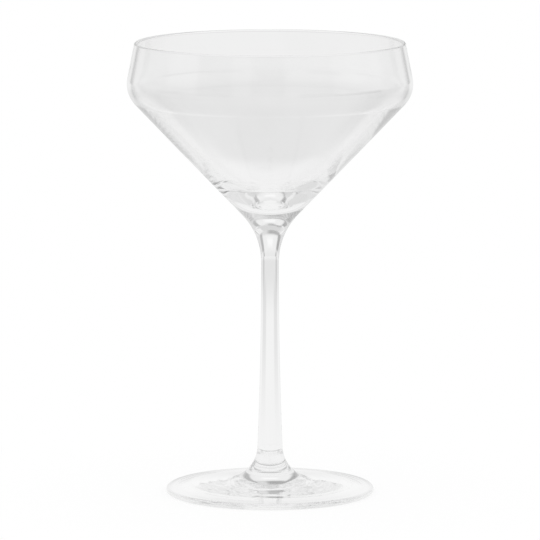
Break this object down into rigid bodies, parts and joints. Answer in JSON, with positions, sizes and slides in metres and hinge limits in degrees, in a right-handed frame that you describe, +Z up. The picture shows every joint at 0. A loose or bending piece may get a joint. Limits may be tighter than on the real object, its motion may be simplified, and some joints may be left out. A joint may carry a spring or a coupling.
{
  "type": "coupe glass",
  "caption": "Clear stemmed coupe glass with a wide cone-shaped bowl, a leaning upper wall, a slim solid stem and a round domed foot, for cocktails and sparkling wine.",
  "frame": {"origin": "centre of the foot's rest ring, on the table", "axes": "+Z up along the axis of the glass, X and Y in the table plane"},
  "size_m": [0.108, 0.108, 0.172],
  "materials": {
    "clear_glass": "clear polished"
  },
  "bodies": {
    "root": {"bowl": "clear_glass", "stem": "clear_glass", "foot": "clear_glass"}
  },
  "joints": []
}
